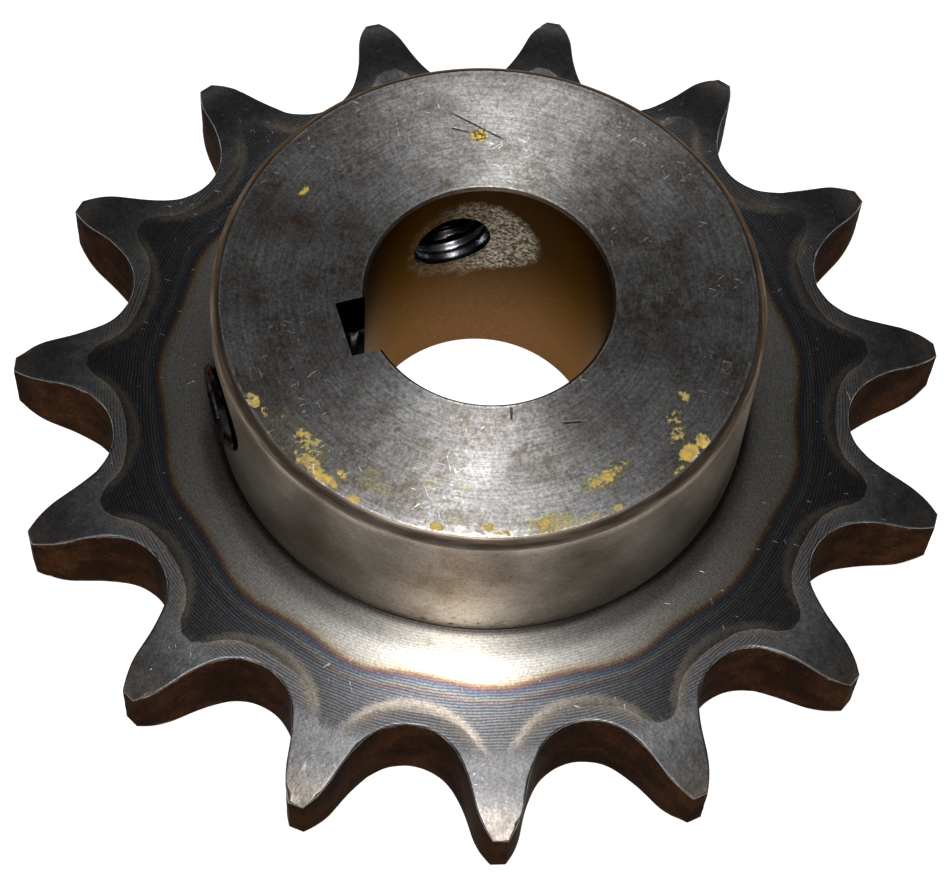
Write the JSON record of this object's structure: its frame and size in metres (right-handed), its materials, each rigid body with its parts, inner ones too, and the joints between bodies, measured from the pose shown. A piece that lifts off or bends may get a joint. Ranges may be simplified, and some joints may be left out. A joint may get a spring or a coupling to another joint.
{
  "type": "roller chain sprocket",
  "caption": "Steel roller chain sprocket with a hub on one side, a keyed bore and two set screws.",
  "frame": {"origin": "on the bore's axis, in the flush back face of the toothed plate", "axes": "+Z along the bore towards the hub end; +X out through the middle of the keyway"},
  "size_m": [0.1011, 0.101, 0.0318],
  "materials": {
    "hardened_plate": "turned, heat tinted",
    "turned_hub": "machined, dull",
    "weld_metal": "as welded",
    "black_oxide": "black oxide"
  },
  "bodies": {
    "sprocket": {"toothed_plate": "hardened_plate", "hub": "turned_hub", "hub_weld": "weld_metal"},
    "key_screw": {"key_setscrew": "black_oxide"},
    "shaft_screw": {"shaft_setscrew": "black_oxide"}
  },
  "joints": [
    {"name": "key_screw_travel", "type": "slide", "parent": "sprocket", "child": "key_screw", "axis": [1, 0, 0], "range_m": [-0.0017, 0.008]},
    {"name": "shaft_screw_travel", "type": "slide", "parent": "sprocket", "child": "shaft_screw", "axis": [0, -1, 0], "range_m": [-0.0032, 0.008]}
  ]
}
